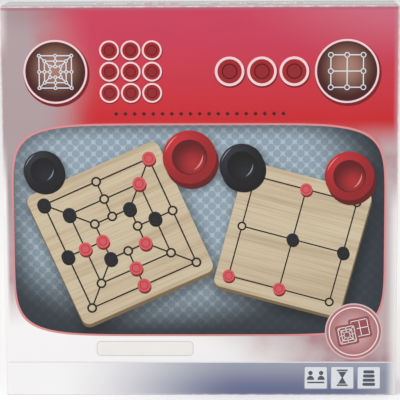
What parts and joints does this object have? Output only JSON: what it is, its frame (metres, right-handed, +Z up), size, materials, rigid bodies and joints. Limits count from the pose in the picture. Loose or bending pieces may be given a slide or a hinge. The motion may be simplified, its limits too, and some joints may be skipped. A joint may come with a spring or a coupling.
{
  "type": "nine mens morris box",
  "caption": "Square cardboard game box with a lift-off lid over a base, holding a formed tray, a wooden morris board and dished counters in two colours.",
  "frame": {"origin": "middle of the closed box's footprint, on the surface that it stands on", "axes": "+Z up along the standing box's height, +Y from the cover through the box to its back, +X to the right of someone who looks at the cover"},
  "size_m": [0.265, 0.05, 0.265],
  "materials": {
    "cover_print": "gloss laminated print",
    "base_print": "gloss laminated print",
    "greyboard": "raw grey board",
    "stay_paper": "brown gummed paper",
    "tray_plastic": "white formed sheet",
    "board_wood": "pale wood, satin varnish, black printed lines",
    "leaflet_paper": "uncoated white paper",
    "red_plastic": "gloss moulded",
    "black_plastic": "gloss moulded"
  },
  "bodies": {
    "base": {"base_shell": "greyboard", "base_wrap": "base_print", "base_corner_stays": "stay_paper"},
    "lid": {"lid_shell": "greyboard", "lid_wrap": "cover_print", "lid_corner_stays": "stay_paper"},
    "tray": {"counter_tray": "tray_plastic"},
    "board": {"morris_board": "board_wood"},
    "leaflet": {"rules_leaflet": "leaflet_paper"},
    "red_counter_1": {"red_counter_1": "red_plastic"},
    "red_counter_2": {"red_counter_2": "red_plastic"},
    "red_counter_3": {"red_counter_3": "red_plastic"},
    "red_counter_4": {"red_counter_4": "red_plastic"},
    "red_counter_5": {"red_counter_5": "red_plastic"},
    "red_counter_6": {"red_counter_6": "red_plastic"},
    "red_counter_7": {"red_counter_7": "red_plastic"},
    "red_counter_8": {"red_counter_8": "red_plastic"},
    "red_counter_9": {"red_counter_9": "red_plastic"},
    "black_counter_1": {"black_counter_1": "black_plastic"},
    "black_counter_2": {"black_counter_2": "black_plastic"},
    "black_counter_3": {"black_counter_3": "black_plastic"},
    "black_counter_4": {"black_counter_4": "black_plastic"},
    "black_counter_5": {"black_counter_5": "black_plastic"},
    "black_counter_6": {"black_counter_6": "black_plastic"},
    "black_counter_7": {"black_counter_7": "black_plastic"},
    "black_counter_8": {"black_counter_8": "black_plastic"},
    "black_counter_9": {"black_counter_9": "black_plastic"}
  },
  "joints": [
    {"name": "lid_slide", "type": "slide", "parent": "base", "child": "lid", "axis": [0, -1, 0], "range_m": [0, 0.2]},
    {"name": "tray_slide", "type": "slide", "parent": "base", "child": "tray", "axis": [0, -1, 0], "range_m": [0, 0.054]},
    {"name": "board_slide", "type": "slide", "parent": "tray", "child": "board", "axis": [0, -1, 0], "range_m": [0, 0.078]},
    {"name": "leaflet_slide", "type": "slide", "parent": "tray", "child": "leaflet", "axis": [0, -1, 0], "range_m": [0, 0.096]},
    {"name": "red_counter_1_slide", "type": "slide", "parent": "tray", "child": "red_counter_1", "axis": [0, -1, 0], "range_m": [0, 0.028]},
    {"name": "red_counter_2_slide", "type": "slide", "parent": "tray", "child": "red_counter_2", "axis": [0, -1, 0], "range_m": [0, 0.028]},
    {"name": "red_counter_3_slide", "type": "slide", "parent": "tray", "child": "red_counter_3", "axis": [0, -1, 0], "range_m": [0, 0.028]},
    {"name": "red_counter_4_slide", "type": "slide", "parent": "tray", "child": "red_counter_4", "axis": [0, -1, 0], "range_m": [0, 0.028]},
    {"name": "red_counter_5_slide", "type": "slide", "parent": "tray", "child": "red_counter_5", "axis": [0, -1, 0], "range_m": [0, 0.028]},
    {"name": "red_counter_6_slide", "type": "slide", "parent": "tray", "child": "red_counter_6", "axis": [0, -1, 0], "range_m": [0, 0.028]},
    {"name": "red_counter_7_slide", "type": "slide", "parent": "tray", "child": "red_counter_7", "axis": [0, -1, 0], "range_m": [0, 0.028]},
    {"name": "red_counter_8_slide", "type": "slide", "parent": "tray", "child": "red_counter_8", "axis": [0, -1, 0], "range_m": [0, 0.028]},
    {"name": "red_counter_9_slide", "type": "slide", "parent": "tray", "child": "red_counter_9", "axis": [0, -1, 0], "range_m": [0, 0.028]},
    {"name": "black_counter_1_slide", "type": "slide", "parent": "tray", "child": "black_counter_1", "axis": [0, -1, 0], "range_m": [0, 0.028]},
    {"name": "black_counter_2_slide", "type": "slide", "parent": "tray", "child": "black_counter_2", "axis": [0, -1, 0], "range_m": [0, 0.028]},
    {"name": "black_counter_3_slide", "type": "slide", "parent": "tray", "child": "black_counter_3", "axis": [0, -1, 0], "range_m": [0, 0.028]},
    {"name": "black_counter_4_slide", "type": "slide", "parent": "tray", "child": "black_counter_4", "axis": [0, -1, 0], "range_m": [0, 0.028]},
    {"name": "black_counter_5_slide", "type": "slide", "parent": "tray", "child": "black_counter_5", "axis": [0, -1, 0], "range_m": [0, 0.028]},
    {"name": "black_counter_6_slide", "type": "slide", "parent": "tray", "child": "black_counter_6", "axis": [0, -1, 0], "range_m": [0, 0.028]},
    {"name": "black_counter_7_slide", "type": "slide", "parent": "tray", "child": "black_counter_7", "axis": [0, -1, 0], "range_m": [0, 0.028]},
    {"name": "black_counter_8_slide", "type": "slide", "parent": "tray", "child": "black_counter_8", "axis": [0, -1, 0], "range_m": [0, 0.028]},
    {"name": "black_counter_9_slide", "type": "slide", "parent": "tray", "child": "black_counter_9", "axis": [0, -1, 0], "range_m": [0, 0.028]}
  ],
  "couplings": [
    {"joint": "tray_slide", "follows": "lid_slide", "ratio": 0.27},
    {"joint": "board_slide", "follows": "lid_slide", "ratio": 0.39},
    {"joint": "leaflet_slide", "follows": "lid_slide", "ratio": 0.48},
    {"joint": "red_counter_1_slide", "follows": "lid_slide", "ratio": 0.14},
    {"joint": "red_counter_2_slide", "follows": "lid_slide", "ratio": 0.14},
    {"joint": "red_counter_3_slide", "follows": "lid_slide", "ratio": 0.14},
    {"joint": "red_counter_4_slide", "follows": "lid_slide", "ratio": 0.14},
    {"joint": "red_counter_5_slide", "follows": "lid_slide", "ratio": 0.14},
    {"joint": "red_counter_6_slide", "follows": "lid_slide", "ratio": 0.14},
    {"joint": "red_counter_7_slide", "follows": "lid_slide", "ratio": 0.14},
    {"joint": "red_counter_8_slide", "follows": "lid_slide", "ratio": 0.14},
    {"joint": "red_counter_9_slide", "follows": "lid_slide", "ratio": 0.14},
    {"joint": "black_counter_1_slide", "follows": "lid_slide", "ratio": 0.14},
    {"joint": "black_counter_2_slide", "follows": "lid_slide", "ratio": 0.14},
    {"joint": "black_counter_3_slide", "follows": "lid_slide", "ratio": 0.14},
    {"joint": "black_counter_4_slide", "follows": "lid_slide", "ratio": 0.14},
    {"joint": "black_counter_5_slide", "follows": "lid_slide", "ratio": 0.14},
    {"joint": "black_counter_6_slide", "follows": "lid_slide", "ratio": 0.14},
    {"joint": "black_counter_7_slide", "follows": "lid_slide", "ratio": 0.14},
    {"joint": "black_counter_8_slide", "follows": "lid_slide", "ratio": 0.14},
    {"joint": "black_counter_9_slide", "follows": "lid_slide", "ratio": 0.14}
  ]
}
